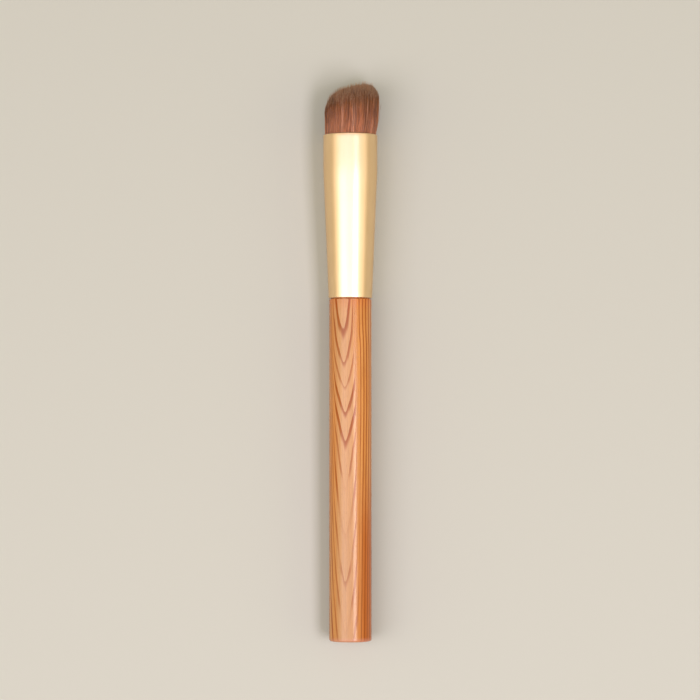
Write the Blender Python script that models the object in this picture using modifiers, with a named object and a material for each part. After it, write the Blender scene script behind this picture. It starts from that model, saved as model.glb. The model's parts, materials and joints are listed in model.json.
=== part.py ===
"""A concealer brush: a turned wooden handle, a flared brass ferrule and a slanted dome of bristles.

Every piece is laid out around the brush's own axis, local Z, from the flat end of the handle (0)
to the tips of the bristles. An empty then lays the brush down as it rests on a table: the local -Y
side looks up, and the bristles point along +Y.
"""

import math
import random

import bmesh
import bpy
from mathutils import Matrix, Vector

MM = 0.001

# Round pieces
FACETS = 48
ARC_STEPS = 4
MERGE_DISTANCE = 0.005 * MM
SMOOTH_ANGLE = math.radians(30)

# Fits
SEAT_GAP = 0.30 * MM

# Handle: a straight grip with a turned tenon that goes up into the ferrule
GRIP_LENGTH = 91.8 * MM
GRIP_RADIUS = 5.70 * MM
GRIP_END_ROUNDING = 0.6 * MM
GRIP_SHOULDER_CHAMFER = 0.12 * MM
TENON_LENGTH = 17.0 * MM
TENON_TIP_CHAMFER = 0.9 * MM
GROOVE_COUNT = 3
GROOVE_WIDTH = 1.9 * MM
GROOVE_DEPTH = 0.9 * MM

# Ferrule: a thin drawn tube, with a straight collar at the mouth, a soft shoulder and a long cone
FERRULE_LENGTH = 44.0 * MM
FERRULE_OVERHANG = 0.12 * MM
FERRULE_MOUTH_RADIUS = 7.27 * MM
FERRULE_WALL = 0.35 * MM
FERRULE_BASE_CHAMFER = 0.08 * MM
COLLAR_LENGTH = 8.0 * MM
SHOULDER_LENGTH = 9.0 * MM
SHOULDER_STEPS = 8
CONE_FLARE_SHARE = 0.785

# Bristles: strands that rise from a thin slice of resin, cut to a slanted dome
STRAND_COUNT = 400
STRAND_RADIUS = 0.215 * MM
STRAND_TIP_RADIUS = 0.15 * MM
STRAND_SIDES = 3
STRAND_EMBED = 0.5 * MM
STRAND_LENGTH_SCATTER = 0.22 * MM
STRAND_SEED = 7
ROOT_DEPTH = 4.0 * MM
TUFT_HEIGHT = 13.1 * MM
TUFT_SLANT_RISE = 1.75 * MM
TUFT_DOME_DROP = 3.8 * MM
TUFT_DOME_POWER = 5
TUFT_LEAN = 0.4 * MM
ROOT_SPREAD_SHARE = 0.98
TIP_SPREAD_SHARE = 1.13

# Root of the tuft: the resin slice, and the neck of hair that the thread ties
ROOT_SLICE_THICKNESS = 1.4 * MM
NECK_FOOT_HEIGHT = 1.0 * MM

# Binding thread
THREAD_RADIUS = 0.25 * MM
THREAD_TURNS = 5
THREAD_TURN_POINTS = 20
THREAD_TURN_GAP = 0.45 * MM

# Cast resin plug, a cup around the tied neck
PLUG_WALL = 0.9 * MM
PLUG_FLOOR = 3.0 * MM

# Heights along the axis
SHOULDER = GRIP_LENGTH
TENON_TOP = SHOULDER + TENON_LENGTH
FERRULE_BASE = SHOULDER + SEAT_GAP
MOUTH = FERRULE_BASE + FERRULE_LENGTH
COLLAR_START = MOUTH - COLLAR_LENGTH
CONE_TOP = COLLAR_START - SHOULDER_LENGTH
ROOT_FACE = MOUTH - ROOT_DEPTH
SLICE_BOTTOM = ROOT_FACE - ROOT_SLICE_THICKNESS
THREAD_PITCH = 2 * THREAD_RADIUS + THREAD_TURN_GAP
THREAD_TOP = SLICE_BOTTOM - SEAT_GAP - THREAD_RADIUS
THREAD_BOTTOM = THREAD_TOP - THREAD_PITCH * THREAD_TURNS
NECK_FOOT_TOP = THREAD_BOTTOM - THREAD_RADIUS - SEAT_GAP
NECK_BOTTOM = NECK_FOOT_TOP - NECK_FOOT_HEIGHT
PLUG_TOP = SLICE_BOTTOM - SEAT_GAP
POCKET_FLOOR = NECK_BOTTOM - SEAT_GAP
PLUG_BOTTOM = POCKET_FLOOR - PLUG_FLOOR

# Radii of the cone and the tenon
FERRULE_BASE_RADIUS = GRIP_RADIUS + FERRULE_OVERHANG
CONE_FLARE = (FERRULE_MOUTH_RADIUS - FERRULE_BASE_RADIUS) * CONE_FLARE_SHARE
CONE_SLOPE = CONE_FLARE / (CONE_TOP - FERRULE_BASE)
CONE_TOP_RADIUS = FERRULE_BASE_RADIUS + CONE_FLARE
TENON_RADIUS = FERRULE_BASE_RADIUS - FERRULE_WALL - SEAT_GAP

# Colours as linear RGB, with roughness and metallic
WOOD = ("lacquered_wood", (0.55, 0.23, 0.085), 0.32, 0.0)
BRASS = ("satin_brass", (0.82, 0.58, 0.25), 0.30, 1.0)
HAIR = ("brown_bristle", (0.22, 0.085, 0.045), 0.45, 0.0)
RESIN = ("cast_resin", (0.62, 0.48, 0.26), 0.25, 0.0)
THREAD = ("binding_thread", (0.75, 0.70, 0.60), 0.80, 0.0)
GLUE = ("cured_glue", (0.70, 0.58, 0.32), 0.30, 0.0)


def clear_scene():
    for obj in list(bpy.data.objects):
        bpy.data.objects.remove(obj)


def new_collection(name):
    collection = bpy.data.collections.new(name)
    bpy.context.scene.collection.children.link(collection)
    return collection


def principled(name, colour, roughness, metallic):
    material = bpy.data.materials.new(name)
    material.use_nodes = True
    shader = material.node_tree.nodes["Principled BSDF"]
    shader.inputs["Base Color"].default_value = (*colour, 1.0)
    shader.inputs["Roughness"].default_value = roughness
    shader.inputs["Metallic"].default_value = metallic
    material.diffuse_color = (*colour, 1.0)
    return material


def add_object(name, data, collection):
    obj = bpy.data.objects.new(name, data)
    collection.objects.link(obj)
    return obj


def baked_mesh(obj):
    """A plain mesh of the object with its modifiers or bevel applied, its caps welded on."""
    graph = bpy.context.evaluated_depsgraph_get()
    mesh = bpy.data.meshes.new_from_object(obj.evaluated_get(graph))
    bm = bmesh.new()
    bm.from_mesh(mesh)
    bmesh.ops.remove_doubles(bm, verts=bm.verts, dist=MERGE_DISTANCE)
    bm.to_mesh(mesh)
    bm.free()
    return mesh


def flatten_ends(mesh):
    """Makes each flat end one face, in place of a fan of facets around a point on the axis."""
    bm = bmesh.new()
    bm.from_mesh(mesh)
    poles = [vertex for vertex in bm.verts if vertex.co.xy.length < MERGE_DISTANCE]
    bmesh.ops.dissolve_verts(bm, verts=poles)
    bm.to_mesh(mesh)
    bm.free()


def shade(mesh):
    mesh.shade_smooth()
    mesh.set_sharp_from_angle(angle=SMOOTH_ANGLE)


def turned(name, outline, collection, closed=False):
    """Turns an outline of (radius, height) around Z. It runs down its outer side; closed makes a ring."""
    last = len(outline) - 1
    edges = [(start, start + 1) for start in range(last)]
    if closed:
        edges.append((last, 0))
    profile = bpy.data.meshes.new(name + "_profile")
    profile.from_pydata([(radius, 0, height) for radius, height in outline], edges, [])
    obj = add_object(name, profile, collection)
    screw = obj.modifiers.new("turn", "SCREW")
    screw.axis = "Z"
    screw.steps = FACETS
    screw.render_steps = FACETS
    screw.use_merge_vertices = True
    screw.merge_threshold = MERGE_DISTANCE
    obj.data = baked_mesh(obj)
    obj.modifiers.clear()
    bpy.data.meshes.remove(profile)
    flatten_ends(obj.data)
    # Half a facet of turn sets a flat facet, and not an edge, on the table.
    obj.data.transform(Matrix.Rotation(math.pi / FACETS, 4, "Z"))
    shade(obj.data)
    return obj


def arc(centre_radius, centre_height, radius, start, end):
    """Points of an arc in the outline's plane, from start to end in degrees."""
    points = []
    for step in range(ARC_STEPS + 1):
        angle = math.radians(start + (end - start) * step / ARC_STEPS)
        points.append((centre_radius + radius * math.cos(angle), centre_height + radius * math.sin(angle)))
    return points


def ferrule_radius(height):
    """Outer radius: a cone, then a cubic curve that leaves it and meets the collar with no corner."""
    if height <= CONE_TOP:
        return FERRULE_BASE_RADIUS + CONE_SLOPE * (height - FERRULE_BASE)
    share = min((height - CONE_TOP) / SHOULDER_LENGTH, 1)
    swell = (FERRULE_MOUTH_RADIUS - CONE_TOP_RADIUS) * share**2 * (3 - 2 * share)
    return CONE_TOP_RADIUS + swell + CONE_SLOPE * SHOULDER_LENGTH * share * (1 - share) ** 2


def flare_heights(low, high):
    """The heights where the ferrule's outline has a point, between low and high, both included."""
    steps = [CONE_TOP + SHOULDER_LENGTH * step / SHOULDER_STEPS for step in range(SHOULDER_STEPS + 1)]
    inside = [height for height in steps if low < height < high]
    return [low, *inside, high]


def bore_outline(low, high, gap):
    """Points just inside the ferrule's bore, a gap away from it, from the top down."""
    heights = reversed(flare_heights(low, high))
    return [(ferrule_radius(height) - FERRULE_WALL - gap, height) for height in heights]


# Radii inside the tied root, from the ferrule's bore inwards
POCKET_RADIUS = ferrule_radius(PLUG_BOTTOM) - FERRULE_WALL - SEAT_GAP - PLUG_WALL
THREAD_PATH_RADIUS = POCKET_RADIUS - SEAT_GAP - THREAD_RADIUS
NECK_RADIUS = THREAD_PATH_RADIUS - THREAD_RADIUS - SEAT_GAP


def groove_centres():
    """Heights of the glue grooves, spread evenly over the straight part of the tenon."""
    pitch = (TENON_LENGTH - TENON_TIP_CHAMFER) / GROOVE_COUNT
    return [SHOULDER + pitch * (number + 0.5) for number in range(GROOVE_COUNT)]


def grip_outline():
    """The part of the handle's outline that shows, from the shoulder down to the axis at its flat end."""
    return [
        (GRIP_RADIUS - GRIP_SHOULDER_CHAMFER, SHOULDER),
        (GRIP_RADIUS, SHOULDER - GRIP_SHOULDER_CHAMFER),
        *arc(GRIP_RADIUS - GRIP_END_ROUNDING, GRIP_END_ROUNDING, GRIP_END_ROUNDING, 0, -90),
        (0, 0),
    ]


def make_handle(collection):
    tenon = [
        (0, TENON_TOP),
        (TENON_RADIUS - TENON_TIP_CHAMFER, TENON_TOP),
        (TENON_RADIUS, TENON_TOP - TENON_TIP_CHAMFER),
    ]
    for centre in reversed(groove_centres()):
        top = centre + GROOVE_WIDTH / 2
        bottom = centre - GROOVE_WIDTH / 2
        floor = TENON_RADIUS - GROOVE_DEPTH
        tenon += [(TENON_RADIUS, top), (floor, top), (floor, bottom), (TENON_RADIUS, bottom)]
    tenon.append((TENON_RADIUS, SHOULDER))
    return turned("handle", tenon + grip_outline(), collection)


def ferrule_outline():
    """The outer side of the ferrule, from the top of its rounded lip down to its base."""
    lip = FERRULE_WALL / 2
    heights = flare_heights(FERRULE_BASE + FERRULE_BASE_CHAMFER, COLLAR_START)
    side = [(ferrule_radius(height), height) for height in reversed(heights)]
    lip_side = arc(FERRULE_MOUTH_RADIUS - lip, MOUTH - lip, lip, 90, 0)
    base = (ferrule_radius(FERRULE_BASE) - FERRULE_BASE_CHAMFER, FERRULE_BASE)
    return [*lip_side, *side, base]


def make_ferrule(collection):
    lip = FERRULE_WALL / 2
    bore = bore_outline(FERRULE_BASE, COLLAR_START, 0)
    bore.reverse()
    inner_lip = arc(FERRULE_MOUTH_RADIUS - lip, MOUTH - lip, lip, 180, 90)
    return turned("ferrule", [*ferrule_outline(), *bore, *inner_lip[:-1]], collection, closed=True)


def make_beads(collection):
    """Rings of cured glue, one in each groove of the tenon, that key it to the ferrule."""
    beads = []
    for number, centre in enumerate(groove_centres(), start=1):
        top = centre + GROOVE_WIDTH / 2 - SEAT_GAP
        bottom = centre - GROOVE_WIDTH / 2 + SEAT_GAP
        inner = TENON_RADIUS - GROOVE_DEPTH + SEAT_GAP
        outline = [*bore_outline(bottom, top, SEAT_GAP), (inner, bottom), (inner, top)]
        beads.append(turned(f"glue_bead_{number}", outline, collection, closed=True))
    return beads


def make_root(name, collection):
    """The slice of resin that holds the strands, over the neck, whose flared foot stops the thread."""
    outline = [
        (0, ROOT_FACE),
        *bore_outline(SLICE_BOTTOM, ROOT_FACE, SEAT_GAP),
        (NECK_RADIUS, SLICE_BOTTOM),
        (NECK_RADIUS, NECK_FOOT_TOP),
        (THREAD_PATH_RADIUS, (NECK_FOOT_TOP + NECK_BOTTOM) / 2),
        (THREAD_PATH_RADIUS, NECK_BOTTOM),
        (0, NECK_BOTTOM),
    ]
    return turned(name, outline, collection)


def tip_height(across, up):
    """Height of the cut above the mouth, at a place measured from the tuft's leaning middle.

    It is a plane that rises to +X, less a dome that drops to its edge.
    """
    share = math.hypot(across, up) / FERRULE_MOUTH_RADIUS
    slant = TUFT_SLANT_RISE * across / FERRULE_MOUTH_RADIUS
    return TUFT_HEIGHT + slant - TUFT_DOME_DROP * share**TUFT_DOME_POWER


def strand_places():
    """Where the strands pass the ferrule's lip: evenly packed, like the seeds of a sunflower."""
    limit = FERRULE_MOUTH_RADIUS - FERRULE_WALL - SEAT_GAP - STRAND_RADIUS
    golden_angle = math.pi * (3 - math.sqrt(5))
    places = []
    for number in range(STRAND_COUNT):
        radius = limit * math.sqrt((number + 0.5) / STRAND_COUNT)
        angle = golden_angle * number
        places.append(Vector((radius * math.cos(angle), radius * math.sin(angle), MOUTH)))
    return places


def strand_path(place, chance):
    """Three points of a strand: in the resin, at the ferrule's lip, and at its cut tip."""
    root = place * ROOT_SPREAD_SHARE
    root.z = ROOT_FACE - STRAND_EMBED
    tip = place * TIP_SPREAD_SHARE
    tip.z = MOUTH + tip_height(tip.x, tip.y) - chance.uniform(0, STRAND_LENGTH_SCATTER)
    tip.x += TUFT_LEAN
    return [root, place, tip]


def least_spacing(points):
    """The least distance between any two of the points, seen along the axis."""
    flat = [point.xy for point in points]
    return min((a - b).length for number, a in enumerate(flat) for b in flat[:number])


def make_strands(collection):
    """All strands as one mesh of closed three-sided hairs, none of which touches another."""
    section = bpy.data.curves.new("strand_section", "CURVE")
    ring = section.splines.new("POLY")
    ring.points.add(STRAND_SIDES - 1)
    for number, point in enumerate(ring.points):
        angle = -2 * math.pi * number / STRAND_SIDES
        point.co = (STRAND_RADIUS * math.cos(angle), STRAND_RADIUS * math.sin(angle), 0, 1)
    ring.use_cyclic_u = True
    section_object = add_object("strand_section", section, collection)

    curve = bpy.data.curves.new("strands", "CURVE")
    curve.dimensions = "3D"
    curve.bevel_mode = "OBJECT"
    curve.bevel_object = section_object
    curve.use_fill_caps = True
    chance = random.Random(STRAND_SEED)
    paths = [strand_path(place, chance) for place in strand_places()]
    tip_share = STRAND_TIP_RADIUS / STRAND_RADIUS
    for path in paths:
        spline = curve.splines.new("POLY")
        spline.points.add(len(path) - 1)
        for point, place, thickness in zip(spline.points, path, (1, 1, tip_share)):
            point.co = (*place, 1)
            point.radius = thickness
    spacing = min(least_spacing(level) for level in zip(*paths))
    print(f"{len(paths)} strands, least gap between two {(spacing - 2 * STRAND_RADIUS) / MM:.3f} mm")
    hairs = add_object("strands", curve, collection)
    bpy.context.view_layer.update()

    strands = add_object("strand_mesh", baked_mesh(hairs), collection)
    bpy.data.objects.remove(hairs)
    bpy.data.objects.remove(section_object)
    return strands


def make_bristles(collection):
    bristles = make_root("bristles", collection)
    strands = make_strands(collection)
    union = bristles.modifiers.new("join_strands", "BOOLEAN")
    union.operation = "UNION"
    # The exact solver leaves a strand loose at some sizes of the ferrule.
    union.solver = "MANIFOLD"
    union.object = strands
    bristles.data = baked_mesh(bristles)
    bristles.modifiers.clear()
    bpy.data.objects.remove(strands)
    shade(bristles.data)
    return bristles


def make_thread(collection):
    """The thread wound around the neck, one unbroken run of turns."""
    curve = bpy.data.curves.new("binding_thread", "CURVE")
    curve.dimensions = "3D"
    curve.bevel_depth = THREAD_RADIUS
    curve.bevel_resolution = 1
    curve.use_fill_caps = True
    spline = curve.splines.new("POLY")
    count = THREAD_TURNS * THREAD_TURN_POINTS + 1
    spline.points.add(count - 1)
    for number, point in enumerate(spline.points):
        turn = number / THREAD_TURN_POINTS
        angle = 2 * math.pi * turn
        x = THREAD_PATH_RADIUS * math.cos(angle)
        y = THREAD_PATH_RADIUS * math.sin(angle)
        point.co = (x, y, THREAD_TOP - THREAD_PITCH * turn, 1)
    route = [point.co.xyz for point in spline.points]
    turns_apart = [
        (place - other).length
        for number, place in enumerate(route)
        for other in route[: max(number - THREAD_TURN_POINTS // 2, 0)]
    ]
    print(f"binding thread: least gap between turns {(min(turns_apart) - 2 * THREAD_RADIUS) / MM:.2f} mm")
    wound = add_object("wound_thread", curve, collection)
    bpy.context.view_layer.update()
    thread = add_object("binding_thread", baked_mesh(wound), collection)
    bpy.data.objects.remove(wound)
    shade(thread.data)
    return thread


def make_plug(collection):
    outline = [
        (POCKET_RADIUS, PLUG_TOP),
        *bore_outline(PLUG_BOTTOM, PLUG_TOP, SEAT_GAP),
        (0, PLUG_BOTTOM),
    ]
    pocket = [(0, POCKET_FLOOR), (POCKET_RADIUS, POCKET_FLOOR)]
    return turned("resin_plug", [*pocket, *outline], collection)


def make_rest(collection, tip):
    """The empty that lays the brush down on grip and ferrule, with the origin under its box's middle."""
    to_facet = math.cos(math.pi / FACETS)
    foot = GRIP_RADIUS * to_facet
    tilt = max(
        math.atan((radius * to_facet - foot) / (height - GRIP_END_ROUNDING))
        for radius, height in ferrule_outline()
    )
    rest = add_object("brush_axis", None, collection)
    rest.rotation_euler.x = tilt - math.pi / 2
    rest.location.y = (foot * math.sin(tilt) - tip * math.cos(tilt)) / 2
    rest.location.z = foot * math.cos(tilt) - GRIP_END_ROUNDING * math.sin(tilt)
    print(f"rest tilt {math.degrees(tilt):.4f} degrees, handle end at y {rest.location.y}, z {rest.location.z}")
    return rest


def main():
    clear_scene()
    brush = new_collection("concealer_brush")
    groups = [
        (WOOD, [make_handle(brush)]),
        (BRASS, [make_ferrule(brush)]),
        (GLUE, make_beads(brush)),
        (HAIR, [make_bristles(brush)]),
        (THREAD, [make_thread(brush)]),
        (RESIN, [make_plug(brush)]),
    ]
    tip = max(vertex.co.z for vertex in bpy.data.objects["bristles"].data.vertices)
    rest = make_rest(brush, tip)
    for look, pieces in groups:
        material = principled(*look)
        for piece in pieces:
            piece.parent = rest
            piece.data.materials.clear()
            piece.data.materials.append(material)
    bpy.context.view_layer.update()


main()
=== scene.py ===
"""A concealer brush at rest: lacquered wood, satin brass and a dense tuft of fine hair.

Each new piece is made in the brush's own coordinates, in metres: X to the right, Y down to the
table, and Z along the brush, from the flat end of its handle (0) to the tips of its hairs.
"""

import json
import math

import bmesh
import bpy
import numpy as np
from mathutils import Matrix, Vector


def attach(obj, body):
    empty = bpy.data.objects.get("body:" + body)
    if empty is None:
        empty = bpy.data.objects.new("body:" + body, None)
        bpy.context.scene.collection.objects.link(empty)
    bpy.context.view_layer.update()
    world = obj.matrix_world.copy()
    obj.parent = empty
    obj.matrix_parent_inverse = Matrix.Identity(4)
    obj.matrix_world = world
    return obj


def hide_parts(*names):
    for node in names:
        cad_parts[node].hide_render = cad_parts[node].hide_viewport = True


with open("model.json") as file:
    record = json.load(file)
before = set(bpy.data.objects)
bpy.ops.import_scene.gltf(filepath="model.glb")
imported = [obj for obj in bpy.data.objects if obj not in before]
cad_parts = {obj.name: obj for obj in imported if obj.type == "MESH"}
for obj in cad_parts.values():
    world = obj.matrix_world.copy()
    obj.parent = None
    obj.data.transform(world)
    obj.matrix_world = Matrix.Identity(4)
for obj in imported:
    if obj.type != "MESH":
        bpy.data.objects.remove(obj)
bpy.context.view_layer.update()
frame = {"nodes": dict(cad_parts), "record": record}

MM = 0.001

# Turned pieces
TURN_STEPS = 256
ARC_STEPS = 10
MERGE_DISTANCE = 0.0005 * MM
CORNER_DIGITS = 7
SMOOTH_ANGLE = math.radians(40)

# Handle
END_ROUNDING = 0.6 * MM

# Ferrule: its collar at the mouth, and the shoulder where the cone swells into it
FERRULE_OVERHANG = 0.12 * MM
FERRULE_WALL = 0.35 * MM
COLLAR_LENGTH = 8.0 * MM
SHOULDER_LENGTH = 9.0 * MM
PROFILE_STEPS = 48
CONE_FLARE_SHARE = 0.785

# Root of the tuft
ROOT_DEPTH = 4.0 * MM
ROOT_SLICE_THICKNESS = 1.4 * MM
SEAT_GAP = 0.3 * MM

# Hairs
HAIR_COUNT = 12000
HAIR_PIECES = 3
HAIR_STEPS = 5
HAIR_SIDES = 3
HAIR_RADIUS = 0.052 * MM
HAIR_TIP_RADIUS = 0.014 * MM
HAIR_TAPER_POWER = 3
HAIR_SEED = 11
HAIR_EMBED = 0.3 * MM
HAIR_GAP = 0.06 * MM
GOLDEN_ANGLE = math.pi * (3 - math.sqrt(5))
JITTER_SHARE = 0.5

# Tuft: a slanted dome of hairs that swell above the mouth, lean, and draw together in clumps
TUFT_HEIGHT = 13.1 * MM
TUFT_SLANT_RISE = 1.75 * MM
TUFT_DOME_DROP = 3.8 * MM
TUFT_DOME_POWER = 5
TUFT_LEAN = 0.40 * MM
TUFT_SWELL_SHARE = 0.085
TUFT_SWELL_HEIGHT = 3.2 * MM
HAIR_LENGTH_SCATTER = 0.40 * MM
LONG_SHARE = 0.12
LONG_REACH = 1.05 * MM
HAIR_BEND = 0.09 * MM
BEND_POWER = 1.5
CLUMPS = ((0.5 * MM, 0.55), (1.6 * MM, 0.2))
CLUMP_BEND = 0.08 * MM
STRAY_SHARE = 0.035
STRAY_BEND = 0.45 * MM

# Binding thread
THREAD_TURNS = 5
THREAD_TURN_POINTS = 96
THREAD_PLIES = 3
THREAD_TWIST_LENGTH = 1.1 * MM
PLY_ROUNDNESS = 2

# Camera: above the brush, as the photograph was taken
CAMERA_HEIGHT = 771 * MM
CAMERA_X = -0.1 * MM
CAMERA_Y = -29.9 * MM
CAMERA_AIM_Y = 3.27 * MM
CAMERA_FIELD = math.radians(14.04)
SENSOR_WIDTH = 36

# Softboxes: angle from straight above, place along the brush, width, length, radiance and
# colour. Cool light from above makes the shine of the gold cream and white.
LIGHT_DISTANCE = 1.0
COOL = (1.0, 0.91, 1.36)
WARM = (1.0, 0.90, 0.70)
SOFTBOXES = {
    "key": (25.0, -0.32, 0.29, 0.70, 10.2, COOL),
    "fill": (-34, -0.26, 0.60, 0.70, 3.45, COOL),
    "top": (-5, -0.16, 0.42, 0.70, 1.9, COOL),
    "left": (-62, -0.10, 0.50, 0.90, 1.1, WARM),
    "right": (60, -0.10, 0.45, 0.90, 1.2, WARM),
}
SKY_COLOUR = (1.0, 0.93, 0.82)
SKY_LEVELS = (0.26, 0.56)

# Floor
FLOOR_SIZE = 8.0
FLOOR_GAP = 0.015 * MM
FLOOR_COLOUR = (0.452, 0.456, 0.310, 1)
FLOOR_ROUGHNESS = 0.9


def brush_matrix():
    """Places the brush's own coordinates in the world, from the mount at its handle's flat end."""
    end = frame["record"]["mounts"][0]
    along = -Vector(end["axis"]).normalized()
    right = Vector((1, 0, 0))
    down = along.cross(right)
    return Matrix.Translation(end["pos_m"]) @ Matrix((right, down, along)).transposed().to_4x4()


BRUSH = brush_matrix()


def rings(node):
    """Radius and height of each corner of a CAD node, measured from the brush's axis."""
    to_brush = BRUSH.inverted()
    corners = [to_brush @ vertex.co for vertex in frame["nodes"][node].data.vertices]
    return [(corner.xy.length, corner.z) for corner in corners]


def reach(node):
    """Least and greatest radius of a CAD node, and its least and greatest height."""
    radii, heights = zip(*rings(node))
    return min(radii), max(radii), min(heights), max(heights)


GRIP_RADIUS = reach("handle")[1]
MOUTH_RADIUS, FERRULE_BASE, MOUTH = reach("ferrule")[1:]
THREAD_INNER, THREAD_OUTER, THREAD_LOW, THREAD_HIGH = reach("binding_thread")
NECK_BOTTOM = reach("bristles")[2]
BASE_RADIUS = GRIP_RADIUS + FERRULE_OVERHANG
COLLAR_START = MOUTH - COLLAR_LENGTH
CONE_TOP = COLLAR_START - SHOULDER_LENGTH
CONE_FLARE = (MOUTH_RADIUS - BASE_RADIUS) * CONE_FLARE_SHARE
CONE_SLOPE = CONE_FLARE / (CONE_TOP - FERRULE_BASE)
CONE_TOP_RADIUS = BASE_RADIUS + CONE_FLARE
ROOT_FACE = MOUTH - ROOT_DEPTH
BORE_RADIUS = MOUTH_RADIUS - FERRULE_WALL


def add_piece(name, data, material, slot, *nodes):
    """Adds a mesh or curve made in the brush's coordinates, in place of the CAD nodes it stands for."""
    piece = bpy.data.objects.new(name, data)
    bpy.context.scene.collection.objects.link(piece)
    piece.matrix_world = BRUSH
    data.materials.append(material)
    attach(piece, "root")
    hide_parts(*nodes)


def turned(name, outline, closed=False):
    """A mesh turned around Z from an outline of (radius, height); a closed outline makes a ring."""
    bm = bmesh.new()
    corners = [bm.verts.new((radius, 0, height)) for radius, height in outline]
    ends = corners[1:] + corners[:1] if closed else corners[1:]
    edges = [bm.edges.new(pair) for pair in zip(corners, ends)]
    bmesh.ops.spin(bm, geom=corners + edges, axis=(0, 0, 1), angle=2 * math.pi, steps=TURN_STEPS)
    bmesh.ops.remove_doubles(bm, verts=bm.verts, dist=MERGE_DISTANCE)
    bmesh.ops.recalc_face_normals(bm, faces=bm.faces)
    mesh = bpy.data.meshes.new(name)
    bm.to_mesh(mesh)
    bm.free()
    mesh.shade_smooth()
    mesh.set_sharp_from_angle(angle=SMOOTH_ANGLE)
    return mesh


def arc(centre_radius, centre_height, radius, start, end):
    """Points of an arc in the outline's plane, from start to end in degrees."""
    points = []
    for step in range(ARC_STEPS + 1):
        angle = math.radians(start + (end - start) * step / ARC_STEPS)
        points.append((centre_radius + radius * math.cos(angle), centre_height + radius * math.sin(angle)))
    return points


def meridian(node):
    """The outline of a turned CAD node, from its top down, read from its own corners."""
    corners = {tuple(round(length, CORNER_DIGITS) for length in corner) for corner in rings(node)}
    left = sorted(corners, key=lambda corner: -corner[1])
    outline = [left.pop(0)]
    while left:
        level = [point for point in left if left[0][1] - point[1] < MERGE_DISTANCE]
        nearest = min(level, key=lambda point: abs(point[0] - outline[-1][0]))
        outline.append(nearest)
        left.remove(nearest)
    return outline


def ferrule_radius(height):
    """Outer radius: a cone, then a cubic curve that leaves it and meets the collar with no corner."""
    if height <= CONE_TOP:
        return BASE_RADIUS + CONE_SLOPE * (height - FERRULE_BASE)
    share = min((height - CONE_TOP) / SHOULDER_LENGTH, 1)
    swell = (MOUTH_RADIUS - CONE_TOP_RADIUS) * share**2 * (3 - 2 * share)
    return CONE_TOP_RADIUS + swell + CONE_SLOPE * SHOULDER_LENGTH * share * (1 - share) ** 2


def srgb(red, green, blue):
    """A colour for a shader, from its red, green and blue on a screen, 0 to 255."""
    shares = [channel / 255 for channel in (red, green, blue)]
    linear = [share / 12.92 if share < 0.04045 else ((share + 0.055) / 1.055) ** 2.4 for share in shares]
    return (*linear, 1.0)


# Noise runs from 0 to 1, and hardly leaves the widest of these spans
NOISE_MIDDLE = 0.5
NARROW_SPAN = (0.35, 0.65)
MEDIUM_SPAN = (0.3, 0.7)
WIDE_SPAN = (0.2, 0.8)


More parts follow.
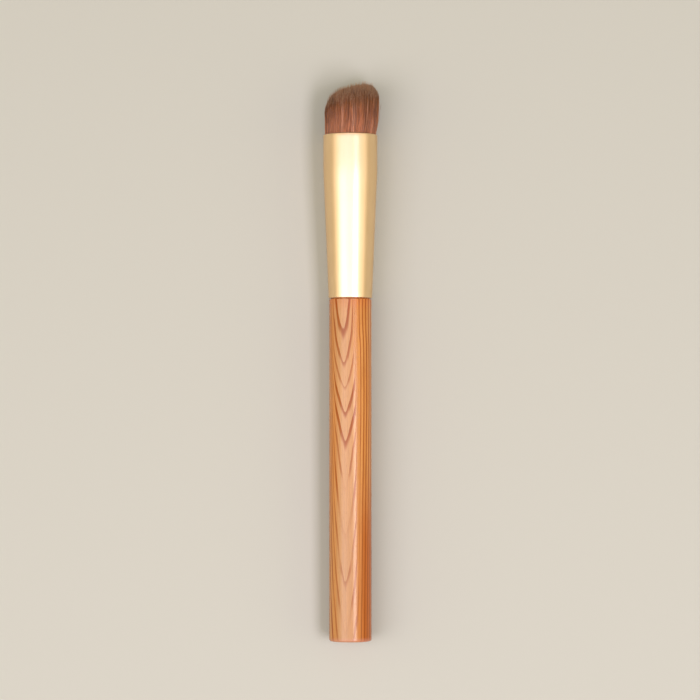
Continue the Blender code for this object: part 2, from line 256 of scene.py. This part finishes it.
class Nodes:
    """A material's node tree, built with one short call for each node."""

    def __init__(self, name):
        self.material = bpy.data.materials.new(name)
        self.material.use_nodes = True
        self.tree = self.material.node_tree
        self.shader = self.tree.nodes["Principled BSDF"]

    def put(self, socket, value):
        """Links a node's output to the socket, or sets the socket's own value."""
        if isinstance(value, bpy.types.NodeSocket):
            self.tree.links.new(value, socket)
        else:
            socket.default_value = value

    def finish(self, inputs):
        """Sets or links the shader's sockets."""
        for name, value in inputs.items():
            self.put(self.shader.inputs[name], value)
        return self.material

    def add(self, kind, inputs, output=0, **settings):
        node = self.tree.nodes.new("ShaderNode" + kind)
        for name, value in settings.items():
            setattr(node, name, value)
        for name, value in inputs.items():
            self.put(node.inputs[name], value)
        return node.outputs[output]

    def math(self, operation, *values):
        return self.add("Math", dict(enumerate(values)), operation=operation)

    def chain(self, operation, values):
        """Takes each value in turn into the result so far, by one operation."""
        result, *others = values
        for value in others:
            result = self.math(operation, result, value)
        return result

    def total(self, *values):
        return self.chain("ADD", values)

    def product(self, *values):
        return self.chain("MULTIPLY", values)

    def less(self, value, part):
        return self.math("SUBTRACT", value, part)

    def greater(self, first, second):
        return self.math("MAXIMUM", first, second)

    def length(self, first, second):
        """Length of a vector, from its two parts."""
        return self.math("SQRT", self.total(self.product(first, first), self.product(second, second)))

    def turned_by(self, first, second, first_share, second_share):
        """The place along a direction that has these shares of two axes."""
        return self.total(self.product(first, first_share), self.product(second, second_share))

    def millimetres(self):
        """The brush's own coordinates, in millimetres."""
        place = self.add("TexCoord", {}, output="Object")
        return self.add("VectorMath", {0: place, "Scale": 1 / MM}, operation="SCALE")

    def split(self, vector):
        return [self.add("SeparateXYZ", {0: vector}, output=axis) for axis in "XYZ"]

    def noise(self, place, across, along, detail):
        """Noise with features of so many millimetres across the brush and along it."""
        sizes = (1 / across, 1 / across, 1 / along)
        vector = self.add("VectorMath", {0: place, 1: sizes}, operation="MULTIPLY")
        return self.add("TexNoise", {"Vector": vector, "Scale": 1.0, "Detail": detail})

    def between(self, value, low, high, to_low=0.0, to_high=1.0):
        """Maps the value from low..high to to_low..to_high, eased and held at the ends."""
        inputs = {"Value": value, 1: low, 2: high, 3: to_low, 4: to_high}
        return self.add("MapRange", inputs, interpolation_type="SMOOTHSTEP")

    def ramp(self, value, stops):
        """A colour that changes with the value, from (place, colour) stops."""
        node = self.tree.nodes.new("ShaderNodeValToRGB")
        self.put(node.inputs[0], value)
        elements = node.color_ramp.elements
        for _ in stops[2:]:
            elements.new(0.5)
        for element, (place, colour) in zip(elements, stops):
            element.position = place
            element.color = colour
        return node.outputs[0]

    def mix(self, share, first, second, blend="MIX"):
        inputs = {0: share, 6: first, 7: second}
        return self.add("Mix", inputs, output=2, data_type="RGBA", blend_type=blend)

    def shaded(self, colour, level):
        """The colour times a level that is 1 where nothing changes."""
        return self.add("VectorMath", {0: colour, "Scale": level}, operation="SCALE")

    def varied(self, colour, noise, levels):
        """The colour, darker where the noise is low and lighter where it is high."""
        return self.shaded(colour, self.between(noise, *MEDIUM_SPAN, *levels))

    def bump(self, height, distance):
        return self.add("Bump", {"Height": height, "Distance": distance})


# Wood grain: growth rings cut at a slant. Their edges draw arches along a crest, which lies right
# over the pith, and nearly straight lines on the flanks beside it. The ring number rises along the
# brush, and falls with the drop: how much nearer to the pith the surface lies than the crest does.
# Lengths, drops and places along the brush are in millimetres, and rises and falls in rings.
PITH_DEPTH = 22
CREST_TILT = math.radians(-13.6)
CREST_POINT = 0.016
CREST_FALL = 1.84

# The crest leans to the left towards the ferrule
LEAN_START, LEAN_END = 58, 95
LEAN_TILT = math.radians(-24)

# The arch next to the ferrule is rounded, and lies a little to the left
ARCH_START, ARCH_END = 78, 85
ARCH_POINT = 0.25
ARCH_FALL = 3.3
ARCH_SHIFT = 0.6
ARCH_DROPS = (0.60, 0.30)

# Rings rise less on the flanks than along the crest, and crowd together on the right
FLANK_START = 0.5
LEFT_END, RIGHT_END = 2.1, 1.1
LEFT_RISE_SHARE, RIGHT_RISE_SHARE = 0.55, 0.18
SIDES_MEET = (-1, 1)
FLANK_FALL = 0.35
CROWD_START = 3.0
CROWD_FALL = 0.5

# Rise along the brush, steeper on the upper half
RISE_START = 14
RING_RISE = 0.0787
STEEP_START, STEEP_END = 50, 84
STEEP_RISE = 1.65
RING_PHASE = -0.163

# Waves that move the rings: their size across and along, and how far they move them
WANDER_SIZE = (8, 45)
WANDER_RINGS = 0.30
RIPPLE_SIZE = (1.6, 12)
RIPPLE_RINGS = 0.22

# Late wood: the dark share of a ring. It is thinner and fainter in some rings, by chance, thinner
# at the tip of an arch, and fainter where the arms of an arch pass on to the flanks.
LATE_START_SHARES = (0.43, 0.70)
LATE_END_SHARES = (1.0, 0.94)
THIN_RING_SHARE = 0.12
THIN_TIP_DROP = 0.16
THIN_TIP_SHARE = 0.20
FAINT_RING_SHARE = 0.70
ARM_DROPS = (0.8, 0.55)
ARM_SHARE = 0.7
FLANK_DROPS = (0.95, 1.15)

# Two stretches of the crest with hardly any late wood
BARE_START = (18, 23)
BARE_END = (47, 42)
BARE_FOOT = (12, 8)
BARE_DROPS = (0.5, 0.1)
BARE_SHARE = 0.8

# Colours of the wood: early wood drifts between two and is warmer on the lower right. Along the
# crest, on top of the handle, a painted sheen makes it paler. All of it is darker towards the flat
# end, a painted shade, and redder at the ferrule and at the rim.
EARLY_WOOD = srgb(203, 139, 66)
EARLY_DRIFTED = srgb(197, 128, 54)
DRIFT_SIZE = (7, 26)
EARLY_WARM = srgb(181, 91, 18)
WARM_ACROSS = (2.4, 5.2)
WARM_ALONG = (52, 24)
WARM_SHARE = 0.9
PAINTED_SHEEN_COLOUR = srgb(186, 141, 88)
PAINTED_SHEEN_DROP = 1.0
PAINTED_SHEEN_SHARE = 0.75
LATE_WOOD = srgb(147, 71, 8)
PAINTED_SHADE_ALONG = (60, 12)
PAINTED_SHADE_LEVEL = 0.88
SEAM_TINT = srgb(255, 208, 190)
SEAM_ALONG = (87.5, 92.5)
SEAM_SHARE = 0.5
RIM_COLOUR = srgb(188, 128, 98)
RIM_ALONG = (1.4, 0.3)
RIM_SHARE = 0.5

# Fine fibres and open pores, the relief that they give, and the lacquer over it
FIBRE_SIZE = (0.14, 7)
FIBRE_LEVELS = (0.90, 1.07)
PORE_COLOUR = srgb(120, 62, 30)
PORE_SIZE = (0.06, 1.3)
PORE_SPAN = (0.64, 0.74)
PORE_SHARE = 0.45
LATE_RELIEF, FIBRE_RELIEF, PORE_RELIEF = 0.6, 0.5, -0.6
WOOD_RELIEF_DEPTH = 0.006 * MM
LACQUER_ROUGHNESS = (0.21, 0.27)


def grain_place(nodes, x, y, z):
    """The place across from the crest, the drop below it, and how far arches are rounded there."""
    tilt = nodes.between(z, LEAN_START, LEAN_END, CREST_TILT, LEAN_TILT)
    straight = nodes.math("COSINE", tilt)
    slant = nodes.math("SINE", tilt)
    roundness = nodes.between(z, ARCH_START, ARCH_END)
    across = nodes.total(nodes.turned_by(x, y, straight, slant), nodes.product(roundness, ARCH_SHIFT))
    height = nodes.turned_by(x, y, slant, nodes.product(straight, -1))
    to_pith = nodes.length(across, nodes.total(height, PITH_DEPTH))
    drop = nodes.greater(nodes.less(GRIP_RADIUS / MM + PITH_DEPTH, to_pith), 0)
    return across, drop, roundness


def fall_below(nodes, drop, point, fall):
    """How far the ring number falls at a drop: an arch, whose tip is blunter with a larger point."""
    root = nodes.math("SQRT", nodes.total(drop, point))
    return nodes.product(nodes.less(root, math.sqrt(point)), fall)


def ring_number(nodes, place, z, across, drop, roundness):
    """The number of the growth ring, with a fraction for the share of that ring."""
    pointed = fall_below(nodes, drop, CREST_POINT, CREST_FALL)
    rounded = fall_below(nodes, drop, ARCH_POINT, ARCH_FALL)
    round_share = nodes.product(roundness, nodes.between(drop, *ARCH_DROPS))
    fall = nodes.total(pointed, nodes.product(nodes.less(rounded, pointed), round_share))
    rise = nodes.total(
        nodes.product(nodes.less(z, RISE_START), RING_RISE),
        nodes.between(z, STEEP_START, STEEP_END, 0.0, STEEP_RISE),
    )
    flank_end = nodes.between(across, *SIDES_MEET, LEFT_END, RIGHT_END)
    flank_share = nodes.between(across, *SIDES_MEET, LEFT_RISE_SHARE, RIGHT_RISE_SHARE)
    crowd = nodes.greater(nodes.less(across, CROWD_START), 0)
    wander = nodes.less(nodes.noise(place, *WANDER_SIZE, detail=1), NOISE_MIDDLE)
    ripple = nodes.less(nodes.noise(place, *RIPPLE_SIZE, detail=2), NOISE_MIDDLE)
    return nodes.total(
        nodes.product(rise, nodes.between(drop, FLANK_START, flank_end, 1.0, flank_share)),
        nodes.product(fall, -1),
        nodes.product(drop, -FLANK_FALL),
        nodes.product(crowd, -CROWD_FALL),
        nodes.product(wander, WANDER_RINGS),
        nodes.product(ripple, RIPPLE_RINGS),
        RING_PHASE,
    )


def late_wood(nodes, ring, z, drop):
    """How much late wood there is at each place, from 0 to 1."""
    share = nodes.math("FRACT", ring)
    chance = nodes.add("TexWhiteNoise", {"W": nodes.math("FLOOR", ring)}, noise_dimensions="1D")
    thin = nodes.total(
        nodes.between(chance, 0, 1, THIN_RING_SHARE, 0.0),
        nodes.between(drop, THIN_TIP_DROP, 0.0, 0.0, THIN_TIP_SHARE),
    )
    growth = nodes.between(nodes.less(share, thin), *LATE_START_SHARES)
    growth = nodes.product(growth, nodes.between(share, *LATE_END_SHARES))
    arms = nodes.between(chance, 0, 1, FAINT_RING_SHARE, 1.0)
    arms = nodes.product(arms, nodes.between(drop, *ARM_DROPS, ARM_SHARE, 1.0))
    strength = nodes.greater(arms, nodes.between(drop, *FLANK_DROPS))
    bare = nodes.product(nodes.between(z, *BARE_START), nodes.between(z, *BARE_END))
    bare = nodes.greater(bare, nodes.between(z, *BARE_FOOT))
    bare = nodes.product(bare, nodes.between(drop, *BARE_DROPS, 0.0, BARE_SHARE))
    return nodes.product(strength, nodes.less(1.0, bare), growth)


def early_wood_and_sheen(nodes, place, z, across, drop):
    """The colour of the early wood at each place, with a painted sheen along the crest."""
    drift = nodes.noise(place, *DRIFT_SIZE, detail=2)
    colour = nodes.mix(nodes.between(drift, *NARROW_SPAN), EARLY_WOOD, EARLY_DRIFTED)
    warm = nodes.product(nodes.between(across, *WARM_ACROSS), nodes.between(z, *WARM_ALONG), WARM_SHARE)
    colour = nodes.mix(warm, colour, EARLY_WARM)
    # Painted sheen: paler along the crest, on top of the handle.
    return nodes.mix(nodes.between(drop, PAINTED_SHEEN_DROP, 0.0, 0.0, PAINTED_SHEEN_SHARE), colour, PAINTED_SHEEN_COLOUR)


def wood_material():
    nodes = Nodes("lacquered_wood")
    place = nodes.millimetres()
    x, y, z = nodes.split(place)
    across, drop, roundness = grain_place(nodes, x, y, z)
    late = late_wood(nodes, ring_number(nodes, place, z, across, drop, roundness), z, drop)
    fibre = nodes.noise(place, *FIBRE_SIZE, detail=3)
    pores = nodes.between(nodes.noise(place, *PORE_SIZE, detail=1), *PORE_SPAN)

    colour = nodes.mix(late, early_wood_and_sheen(nodes, place, z, across, drop), LATE_WOOD)
    # Painted shade: all of the wood darker towards the flat end.
    colour = nodes.shaded(colour, nodes.between(z, *PAINTED_SHADE_ALONG, 1.0, PAINTED_SHADE_LEVEL))
    colour = nodes.varied(colour, fibre, FIBRE_LEVELS)
    colour = nodes.mix(nodes.product(pores, PORE_SHARE), colour, PORE_COLOUR)
    redder = nodes.mix(1.0, colour, SEAM_TINT, blend="MULTIPLY")
    colour = nodes.mix(nodes.between(z, *SEAM_ALONG, 0.0, SEAM_SHARE), colour, redder)
    colour = nodes.mix(nodes.between(z, *RIM_ALONG, 0.0, RIM_SHARE), colour, RIM_COLOUR)
    relief = nodes.total(
        nodes.product(late, LATE_RELIEF),
        nodes.product(fibre, FIBRE_RELIEF),
        nodes.product(pores, PORE_RELIEF),
    )
    return nodes.finish({
        "Base Color": colour,
        "Roughness": nodes.between(fibre, *WIDE_SPAN, *LACQUER_ROUGHNESS),
        "Normal": nodes.bump(relief, WOOD_RELIEF_DEPTH),
        "Specular IOR Level": 0.50,
        "Specular Tint": (1.0, 0.97, 0.66, 1),
    })


# Brass: satin metal with drawn lines, faint clouds and a few specks, under a clear coat
BRASS = (0.85, 0.565, 0.20, 1)
BRASS_CLOUD = (0.87, 0.585, 0.22, 1)
BRASS_CLOUD_SIZE = (6, 9)
BRASS_ROUGHNESS = (0.45, 0.47)
SPECK_COLOUR = (0.55, 0.33, 0.10, 1)
SPECK_SIZE = (0.22, 0.22)
SPECK_SPAN = (0.70, 0.78)
SPECK_SHARE = 0.10
LINE_SIZE = (0.12, 14)
LINE_ROUGHNESS = (-0.015, 0.015)
LINE_DEPTH = 0.0004 * MM


def brass_material():
    nodes = Nodes("satin_brass")
    place = nodes.millimetres()
    lines = nodes.noise(place, *LINE_SIZE, detail=3)
    cloud = nodes.noise(place, *BRASS_CLOUD_SIZE, detail=2)
    speck = nodes.between(nodes.noise(place, *SPECK_SIZE, detail=1), *SPECK_SPAN)
    colour = nodes.mix(nodes.between(cloud, *NARROW_SPAN), BRASS, BRASS_CLOUD)
    roughness = nodes.total(
        nodes.between(cloud, *MEDIUM_SPAN, *BRASS_ROUGHNESS),
        nodes.between(lines, *MEDIUM_SPAN, *LINE_ROUGHNESS),
    )
    return nodes.finish({
        "Base Color": nodes.mix(nodes.product(speck, SPECK_SHARE), colour, SPECK_COLOUR),
        "Metallic": 1.0,
        "Specular Tint": (0.66, 0.44, 0.18, 1),
        "Roughness": roughness,
        "Normal": nodes.bump(lines, LINE_DEPTH),
        "Coat Weight": 1.0,
        "Coat Roughness": 0.33,
        "Coat IOR": 2.5,
    })


# Hair: its colour changes from the root up, and from hair to hair. Some hairs are pale, and the
# tuft has streaks and clouds. Its sides are darker, a painted shade, and the ends of the hairs are
# paler, a painted highlight where light catches them. Places are in millimetres.
HAIR_HEIGHTS = (-1.0, 13.0)
HAIR_COLOURS = (
    (0.0, srgb(188, 121, 74)),
    (0.45, srgb(168, 104, 58)),
    (0.85, srgb(170, 111, 60)),
    (1.0, srgb(169, 114, 66)),
)
HAIR_LEVELS = (0.68, 1.24)
PALE_HAIR = srgb(226, 180, 140)
PALE_HAIR_SPAN = (0.955, 0.965)
PALE_HAIR_SHARE = 0.6
STREAK_SIZE = (0.26, 2.8)
STREAK_LEVELS = (0.74, 1.26)
HAIR_CLOUD_SIZE = (2.2, 9)
HAIR_CLOUD_LEVELS = (0.90, 1.10)
PAINTED_SIDE_SHADE_MIDDLE = 0.8
PAINTED_SIDE_SHADE_WIDTHS = (3.0, 6.5)
PAINTED_SIDE_SHADE_LEVEL = 0.82
TIP_HIGHLIGHT_COLOUR = srgb(218, 178, 132)
TIP_HIGHLIGHT_SPAN = (0.94, 1.0)
TIP_HIGHLIGHT_SHARE = 0.65


def hair_material():
    nodes = Nodes("brown_hair")
    place = nodes.millimetres()
    x, _, z = nodes.split(place)
    colour = nodes.ramp(nodes.between(nodes.less(z, MOUTH / MM), *HAIR_HEIGHTS), HAIR_COLOURS)
    each = nodes.add("NewGeometry", {}, output="Random Per Island")
    colour = nodes.shaded(colour, nodes.between(each, 0, 1, *HAIR_LEVELS))
    colour = nodes.mix(nodes.between(each, *PALE_HAIR_SPAN, 0.0, PALE_HAIR_SHARE), colour, PALE_HAIR)
    colour = nodes.varied(colour, nodes.noise(place, *STREAK_SIZE, detail=3), STREAK_LEVELS)
    # Painted shade: the tuft darker towards its sides.
    side = nodes.math("ABSOLUTE", nodes.less(x, PAINTED_SIDE_SHADE_MIDDLE))
    colour = nodes.shaded(colour, nodes.between(side, *PAINTED_SIDE_SHADE_WIDTHS, 1.0, PAINTED_SIDE_SHADE_LEVEL))
    colour = nodes.varied(colour, nodes.noise(place, *HAIR_CLOUD_SIZE, detail=1), HAIR_CLOUD_LEVELS)
    # Painted highlight: the ends of the hairs paler, as where light catches and shines through them.
    tip = nodes.add("Attribute", {}, output="Fac", attribute_name="tip_share")
    colour = nodes.mix(nodes.between(tip, *TIP_HIGHLIGHT_SPAN, 0.0, TIP_HIGHLIGHT_SHARE), colour, TIP_HIGHLIGHT_COLOUR)
    return nodes.finish({
        "Base Color": colour,
        "Roughness": 0.42,
        "Specular IOR Level": 0.38,
        "Specular Tint": (1.0, 0.95, 0.75, 1),
        "Sheen Weight": 0.1,
        "Sheen Roughness": 0.4,
    })


# Thread, and the cast or set clear masses: a clear colour, a cloudy one and a roughness for each
THREAD_COLOUR = srgb(236, 229, 212)
FLUFF_COLOUR = srgb(208, 198, 176)
FLUFF_SIZE = (0.06, 0.06)
FLUFF_DEPTH = 0.02 * MM
RESIN = (srgb(214, 184, 134), srgb(196, 160, 106), 0.2)
GLUE = (srgb(224, 205, 160), srgb(208, 184, 132), 0.3)
CLOUDY_SIZE = (1.6, 1.6)
CLOUDY_ROUGHENING = 0.1
BUBBLE_COLOUR = srgb(245, 238, 220)
BUBBLE_SIZE = (0.25, 0.25)
BUBBLE_SPAN = (0.72, 0.78)
BUBBLE_SHARE = 0.4
BUBBLE_DEPTH = 0.02 * MM


def thread_material():
    nodes = Nodes("linen_thread")
    fluff = nodes.noise(nodes.millimetres(), *FLUFF_SIZE, detail=3)
    return nodes.finish({
        "Base Color": nodes.mix(nodes.between(fluff, *NARROW_SPAN), THREAD_COLOUR, FLUFF_COLOUR),
        "Roughness": 0.85,
        "Normal": nodes.bump(fluff, FLUFF_DEPTH),
        "Sheen Weight": 0.3,
    })


def cast_material(name, clear, cloudy, roughness):
    """A cast or set clear mass with faint clouds and small bubbles."""
    nodes = Nodes(name)
    place = nodes.millimetres()
    cloud = nodes.noise(place, *CLOUDY_SIZE, detail=3)
    bubble = nodes.between(nodes.noise(place, *BUBBLE_SIZE, detail=0), *BUBBLE_SPAN)
    colour = nodes.mix(nodes.between(cloud, *MEDIUM_SPAN), clear, cloudy)
    return nodes.finish({
        "Base Color": nodes.mix(nodes.product(bubble, BUBBLE_SHARE), colour, BUBBLE_COLOUR),
        "Roughness": nodes.between(cloud, *MEDIUM_SPAN, roughness, roughness + CLOUDY_ROUGHENING),
        "Normal": nodes.bump(bubble, BUBBLE_DEPTH),
    })


def make_handle():
    """The grip with its rounded flat end, and the tenon that goes up into the ferrule."""
    upper = [point for point in meridian("handle") if point[1] > MOUTH / 2]
    end = arc(GRIP_RADIUS - END_ROUNDING, END_ROUNDING, END_ROUNDING, 0, -90)
    outline = [(0, upper[0][1]), *upper, *end, (0, 0)]
    add_piece("turned_handle", turned("turned_handle", outline), wood_material(), "handle_wood", "handle")


def make_ferrule():
    """The drawn tube, with a rounded lip at its mouth and a rounded edge at its base."""
    edge = FERRULE_WALL / 2
    low = FERRULE_BASE + edge
    high = MOUTH - edge
    heights = [low + (high - low) * step / PROFILE_STEPS for step in range(PROFILE_STEPS + 1)]
    side = [(ferrule_radius(height), height) for height in heights]
    bore = [(radius - FERRULE_WALL, height) for radius, height in side]
    mouth_edge = arc(MOUTH_RADIUS - edge, high, edge, 180, 0)
    base_edge = arc(ferrule_radius(low) - edge, low, edge, 0, -180)
    outline = [*mouth_edge[:-1], *reversed(side), *base_edge[1:-1], *bore[:-1]]
    mesh = turned("brass_ferrule", outline, closed=True)
    add_piece("brass_ferrule", mesh, brass_material(), "ferrule_brass", "ferrule")


def tip_height(across, down):
    """Height of the cut above the mouth, at a place measured from the tuft's leaning middle.

    It is a plane that rises to +X, less a dome that drops to its edge.
    """
    share = np.hypot(across, down) / MOUTH_RADIUS
    slant = TUFT_SLANT_RISE * across / MOUTH_RADIUS
    return TUFT_HEIGHT + slant - TUFT_DOME_DROP * share**TUFT_DOME_POWER


def table_depth(height):
    """How far the table lies below the brush's axis, at a height along the brush."""
    _, down, along = BRUSH.to_3x3().col
    return (BRUSH.translation.z + height * along.z) / -down.z


def packed(count, limit):
    """Places spread evenly over a disc, like the seeds of a sunflower."""
    number = np.arange(count)
    radius = limit * np.sqrt((number + 0.5) / count)
    angle = GOLDEN_ANGLE * number
    return np.stack([radius * np.cos(angle), radius * np.sin(angle)], axis=1)


def jitter(places, spacing, chance):
    """Random moves of up to a share of the places' spacing."""
    return chance.uniform(-JITTER_SHARE, JITTER_SHARE, places.shape) * spacing


def clump_pull(places, spacing, share, chance):
    """How far each hair's tip is drawn to the middle of its clump, which itself leans a little."""
    limit = BORE_RADIUS
    middles = packed(round((limit / spacing) ** 2 * math.pi), limit)
    middles += jitter(middles, spacing, chance)
    leans = chance.normal(0, CLUMP_BEND, middles.shape)
    nearest = [np.argmin(((middles - place) ** 2).sum(axis=1)) for place in places]
    return (middles[nearest] - places) * share + leans[nearest]


def hair_paths(chance):
    """Middle points of all hairs, hair by hair, from the root to the tip."""
    limit = BORE_RADIUS - HAIR_GAP - HAIR_RADIUS
    roots = packed(HAIR_COUNT, limit)
    roots += jitter(roots, limit * math.sqrt(math.pi / HAIR_COUNT), chance)
    outside = np.maximum(np.hypot(*roots.T) / limit, 1)
    roots /= outside[:, None]

    pull = sum(clump_pull(roots, *clump, chance) for clump in CLUMPS)
    pull += chance.normal(0, HAIR_BEND, roots.shape)
    stray = chance.random(HAIR_COUNT) < STRAY_SHARE
    pull[stray] += chance.normal(0, STRAY_BEND, (stray.sum(), 2))

    lean = np.array([TUFT_LEAN, 0])
    tips = roots * (1 + TUFT_SWELL_SHARE) + pull
    top = MOUTH + tip_height(*tips.T) - np.abs(chance.normal(0, HAIR_LENGTH_SCATTER, HAIR_COUNT))
    long = chance.random(HAIR_COUNT) < LONG_SHARE
    top[long] += chance.uniform(0, LONG_REACH, long.sum())
    levels = [np.column_stack([roots, np.full(HAIR_COUNT, ROOT_FACE - HAIR_EMBED)])]
    for step in range(HAIR_STEPS):
        share = step / (HAIR_STEPS - 1)
        height = (top - MOUTH) * share
        swell = (1 - np.exp(-height / TUFT_SWELL_HEIGHT))[:, None]
        flat = roots * (1 + TUFT_SWELL_SHARE * swell) + lean * swell + pull * share**BEND_POWER
        table = table_depth(MOUTH + height) - HAIR_RADIUS
        levels.append(np.column_stack([flat[:, 0], np.minimum(flat[:, 1], table), MOUTH + height]))
    return np.stack(levels, axis=1)


def hair_mesh(name, paths, turns):
    """One mesh of thin closed hairs, each with a few sides and a fine tip."""
    hairs, levels = paths.shape[:2]
    shares = np.linspace(0, 1, levels)
    thickness = HAIR_RADIUS + (HAIR_TIP_RADIUS - HAIR_RADIUS) * shares**HAIR_TAPER_POWER
    angles = turns[:, None, None] + 2 * np.pi * np.arange(HAIR_SIDES) / HAIR_SIDES
    round_about = np.stack([np.cos(angles), np.sin(angles), np.zeros_like(angles)], axis=-1)
    corners = paths[:, :, None, :] + thickness[None, :, None, None] * round_about

    side = np.arange(HAIR_SIDES)
    after = (side + 1) % HAIR_SIDES
    low = np.arange(levels - 1)[:, None] * HAIR_SIDES
    quads = np.stack([low + side, low + after, low + HAIR_SIDES + after, low + HAIR_SIDES + side], axis=-1)
    ends = np.stack([side[::-1], (levels - 1) * HAIR_SIDES + side])
    start = np.arange(hairs)[:, None, None] * levels * HAIR_SIDES
    quads = (quads.reshape(-1, 4) + start).reshape(-1, 4)
    ends = (ends + start).reshape(-1, HAIR_SIDES)
    mesh = bpy.data.meshes.new(name)
    mesh.from_pydata(corners.reshape(-1, 3).tolist(), [], quads.tolist() + ends.tolist())
    tip_shares = np.broadcast_to(shares[None, :, None], corners.shape[:3]).ravel()
    mesh.attributes.new("tip_share", "FLOAT", "POINT").data.foreach_set("value", tip_shares)
    mesh.shade_smooth()
    return mesh


def make_tuft():
    """The resin slice with its neck, and the hairs that rise from it, in a few pieces."""
    slice_bottom = ROOT_FACE - ROOT_SLICE_THICKNESS
    slice_radius = BORE_RADIUS - SEAT_GAP
    neck_radius = THREAD_INNER - SEAT_GAP
    outline = [
        (0, ROOT_FACE),
        (slice_radius, ROOT_FACE),
        (slice_radius, slice_bottom),
        (neck_radius, slice_bottom),
        (neck_radius, NECK_BOTTOM),
        (0, NECK_BOTTOM),
    ]
    hair = hair_material()
    add_piece("tuft_root", turned("tuft_root", outline), hair, "bristle_hair", "bristles")
    chance = np.random.default_rng(HAIR_SEED)
    paths = hair_paths(chance)
    turns = chance.uniform(0, 2 * np.pi, HAIR_COUNT)
    size = HAIR_COUNT // HAIR_PIECES
    for number in range(HAIR_PIECES):
        some = slice(number * size, (number + 1) * size)
        name = f"tuft_hairs_{number + 1}"
        add_piece(name, hair_mesh(name, paths[some], turns[some]), hair, "bristle_hair", "bristles")


def make_thread():
    """The binding thread around the neck, as twisted plies that fill its thickness two abreast."""
    ply_radius = (THREAD_OUTER - THREAD_INNER) / 4
    middle = (THREAD_OUTER + THREAD_INNER) / 2
    low = THREAD_LOW + 2 * ply_radius
    high = THREAD_HIGH - 2 * ply_radius
    twists = 2 * math.pi * middle * THREAD_TURNS / THREAD_TWIST_LENGTH
    curve = bpy.data.curves.new("binding_plies", "CURVE")
    curve.dimensions = "3D"
    curve.bevel_depth = ply_radius
    curve.bevel_resolution = PLY_ROUNDNESS
    curve.use_fill_caps = True
    steps = THREAD_TURNS * THREAD_TURN_POINTS
    for ply in range(THREAD_PLIES):
        spline = curve.splines.new("POLY")
        spline.points.add(steps)
        for number, point in enumerate(spline.points):
            share = number / steps
            angle = 2 * math.pi * THREAD_TURNS * share
            roll = 2 * math.pi * (twists * share + ply / THREAD_PLIES)
            out = middle + ply_radius * math.cos(roll)
            height = high + (low - high) * share + ply_radius * math.sin(roll)
            point.co = (out * math.cos(angle), out * math.sin(angle), height, 1)
    add_piece("binding_plies", curve, thread_material(), "binding_thread", "binding_thread")


def dress_inner_nodes():
    """Gives the cast plug and the glue rings, which keep their CAD shapes, their finish."""
    resin = cast_material("amber_resin", *RESIN)
    glue = cast_material("set_glue", *GLUE)
    for name, node in frame["nodes"].items():
        if name == "resin_plug":
            node.material_slots[0].material = resin
        elif name.startswith("glue_bead"):
            node.material_slots[0].material = glue


def make_floor():
    bpy.ops.mesh.primitive_plane_add(size=FLOOR_SIZE, location=(0, 0, -FLOOR_GAP))
    floor = bpy.context.active_object
    floor.name = "floor"
    finish = {"Base Color": FLOOR_COLOUR, "Roughness": FLOOR_ROUGHNESS}
    floor.data.materials.append(Nodes("pale_floor").finish(finish))


def add_softbox(name, angle, along, width, length, radiance, colour):
    """A softbox at an angle from straight above the brush, turned to it, long in its direction."""
    data = bpy.data.lights.new(name, "AREA")
    data.shape = "RECTANGLE"
    data.size = width
    data.size_y = length
    data.energy = radiance * math.pi * width * length
    data.color = colour
    light = bpy.data.objects.new(name, data)
    bpy.context.scene.collection.objects.link(light)
    light.location = (LIGHT_DISTANCE * math.sin(angle), along, LIGHT_DISTANCE * math.cos(angle))
    light.rotation_euler.y = angle


def make_sky():
    """A warm grey sky that brightens from the horizon to straight above."""
    world = bpy.data.worlds.new("studio")
    world.use_nodes = True
    tree = world.node_tree
    place = tree.nodes.new("ShaderNodeTexCoord")
    split = tree.nodes.new("ShaderNodeSeparateXYZ")
    ramp = tree.nodes.new("ShaderNodeValToRGB")
    tree.links.new(place.outputs["Generated"], split.inputs[0])
    tree.links.new(split.outputs["Z"], ramp.inputs[0])
    tree.links.new(ramp.outputs[0], tree.nodes["Background"].inputs["Color"])
    for element, level in zip(ramp.color_ramp.elements, SKY_LEVELS):
        element.color = (*(level * part for part in SKY_COLOUR), 1)
    bpy.context.scene.world = world


def make_lights():
    for name, (angle, *settings) in SOFTBOXES.items():
        add_softbox(name, math.radians(angle), *settings)
    make_sky()


def make_camera():
    data = bpy.data.cameras.new("camera")
    data.sensor_width = SENSOR_WIDTH
    data.angle = CAMERA_FIELD
    camera = bpy.data.objects.new("camera", data)
    bpy.context.scene.collection.objects.link(camera)
    camera.location = (CAMERA_X, CAMERA_Y, CAMERA_HEIGHT)
    aim = Vector((CAMERA_X, CAMERA_AIM_Y, GRIP_RADIUS))
    camera.rotation_euler = (aim - camera.location).to_track_quat("-Z", "Y").to_euler()
    bpy.context.scene.camera = camera


bpy.context.scene.view_settings.view_transform = "Standard"
make_handle()
make_ferrule()
make_tuft()
make_thread()
dress_inner_nodes()
make_floor()
make_lights()
make_camera()
